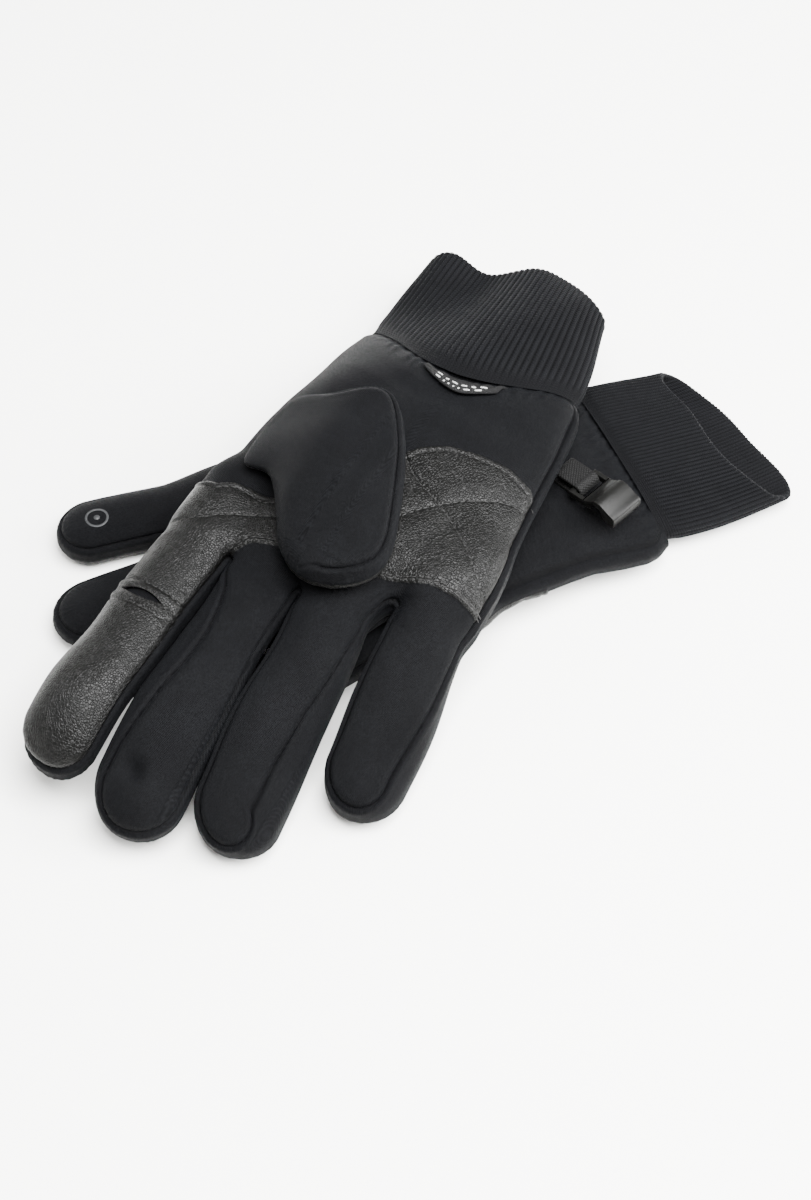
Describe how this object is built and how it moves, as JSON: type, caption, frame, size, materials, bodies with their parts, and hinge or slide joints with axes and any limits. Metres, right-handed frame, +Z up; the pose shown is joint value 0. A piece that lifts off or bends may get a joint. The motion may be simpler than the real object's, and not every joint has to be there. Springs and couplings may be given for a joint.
{
  "type": "convertible flip-top gloves",
  "caption": "Pair of softshell gloves with leather palms, knitted cuffs and a hinged index fingertip hood; the right one lies palm up across the left.",
  "frame": {"origin": "centre of the bounding box at the table surface", "axes": "+Z up from the table; +X and +Y are the two directions of the table as the pair was arranged, with the fingers towards -X -Y"},
  "size_m": [0.2664, 0.2634, 0.063],
  "materials": {
    "softshell": "fine knitted face, matt",
    "leather": "grained, low sheen",
    "rib_knit": "rib knit",
    "elastic": "woven elastic",
    "label_weave": "satin ribbon",
    "touch_print": "printed film",
    "webbing": "woven tape",
    "hook_plastic": "moulded, glossy"
  },
  "bodies": {
    "left_glove": {"left_palm_panel": "softshell", "left_back_panel": "softshell", "left_side_gusset": "softshell", "left_palm_patch": "leather", "left_knit_cuff": "rib_knit", "left_wrist_elastic": "elastic", "left_woven_label": "label_weave", "left_index_base_sleeve": "softshell", "left_index_base_leather": "leather", "left_slit_flap": "softshell", "left_middle_front": "softshell", "left_middle_back": "softshell", "left_middle_side_strip": "softshell", "left_ring_front": "softshell", "left_ring_back": "softshell", "left_ring_side_strip": "softshell", "left_little_front": "softshell", "left_little_back": "softshell", "left_little_side_strip": "softshell", "left_thumb_back": "softshell", "left_thumb_leather": "leather", "left_thumb_side_strip": "softshell"},
    "left_fingertip_hood": {"left_hood_back": "softshell", "left_hood_leather": "leather", "left_hood_side_strip": "softshell", "left_touch_mark": "touch_print"},
    "left_loop": {"left_webbing_loop": "webbing"},
    "left_hook": {"left_clip_hook": "hook_plastic"},
    "right_glove": {"right_palm_panel": "softshell", "right_back_panel": "softshell", "right_side_gusset": "softshell", "right_palm_patch": "leather", "right_knit_cuff": "rib_knit", "right_wrist_elastic": "elastic"},
    "right_index": {"right_index_base_sleeve": "softshell", "right_index_base_leather": "leather", "right_slit_flap": "softshell"},
    "right_fingertip_hood": {"right_hood_back": "softshell", "right_hood_leather": "leather", "right_hood_side_strip": "softshell", "right_touch_mark": "touch_print"},
    "right_middle": {"right_middle_front": "softshell", "right_middle_back": "softshell", "right_middle_side_strip": "softshell"},
    "right_ring": {"right_ring_front": "softshell", "right_ring_back": "softshell", "right_ring_side_strip": "softshell"},
    "right_little": {"right_little_front": "softshell", "right_little_back": "softshell", "right_little_side_strip": "softshell"},
    "right_thumb": {"right_thumb_back": "softshell", "right_thumb_leather": "leather", "right_thumb_side_strip": "softshell"},
    "right_label": {"right_woven_label": "label_weave"}
  },
  "joints": [
    {"name": "right_glove_lift", "type": "slide", "parent": "left_glove", "child": "right_glove", "axis": [0, 0, 1], "range_m": [0, 0.15]},
    {"name": "right_index_bend", "type": "hinge", "parent": "right_glove", "child": "right_index", "pos_m": [-0.08132, -0.02918, 0.03994], "axis": [-0.8605, 0.5095, 0], "range_deg": [0, 85]},
    {"name": "right_fingertip_flip", "type": "hinge", "parent": "right_index", "child": "right_fingertip_hood", "pos_m": [-0.09344, -0.04966, 0.02433], "axis": [0.8605, -0.5095, 0], "range_deg": [0, 94]},
    {"name": "right_middle_bend", "type": "hinge", "parent": "right_glove", "child": "right_middle", "pos_m": [-0.05761, -0.04336, 0.03994], "axis": [-0.8805, 0.474, 0], "range_deg": [0, 75]},
    {"name": "right_ring_bend", "type": "hinge", "parent": "right_glove", "child": "right_ring", "pos_m": [-0.03379, -0.05758, 0.03981], "axis": [-0.9052, 0.4249, 0], "range_deg": [0, 75]},
    {"name": "right_little_bend", "type": "hinge", "parent": "right_glove", "child": "right_little", "pos_m": [-0.00026, -0.06108, 0.03597], "axis": [-0.9089, 0.4171, 0], "range_deg": [0, 75]},
    {"name": "right_thumb_swing", "type": "hinge", "parent": "right_glove", "child": "right_thumb", "pos_m": [-0.05185, 0.01682, 0.04573], "axis": [-0.5135, -0.8581, 0], "range_deg": [0, 110]},
    {"name": "right_label_flap", "type": "hinge", "parent": "right_glove", "child": "right_label", "pos_m": [0.01502, 0.04578, 0.04451], "axis": [-0.9319, 0.3627, -0.0063], "range_deg": [0, 70]},
    {"name": "left_fingertip_flip", "type": "hinge", "parent": "left_glove", "child": "left_fingertip_hood", "pos_m": [-0.07906, 0.01446, 0.01769], "axis": [-0.2884, 0.9575, 0], "range_deg": [0, 70]},
    {"name": "left_loop_hinge", "type": "hinge", "parent": "left_glove", "child": "left_loop", "pos_m": [0.04974, 0.01923, 0.02016], "axis": [-0.7108, -0.7034, 0], "range_deg": [0, 35]},
    {"name": "left_hook_swivel", "type": "hinge", "parent": "left_loop", "child": "left_hook", "pos_m": [0.05723, 0.01167, 0.02454], "axis": [-0.7108, -0.7034, 0], "range_deg": [-8, 35]}
  ],
  "couplings": [
    {"joint": "right_fingertip_flip", "follows": "right_index_bend", "ratio": 1.1}
  ]
}
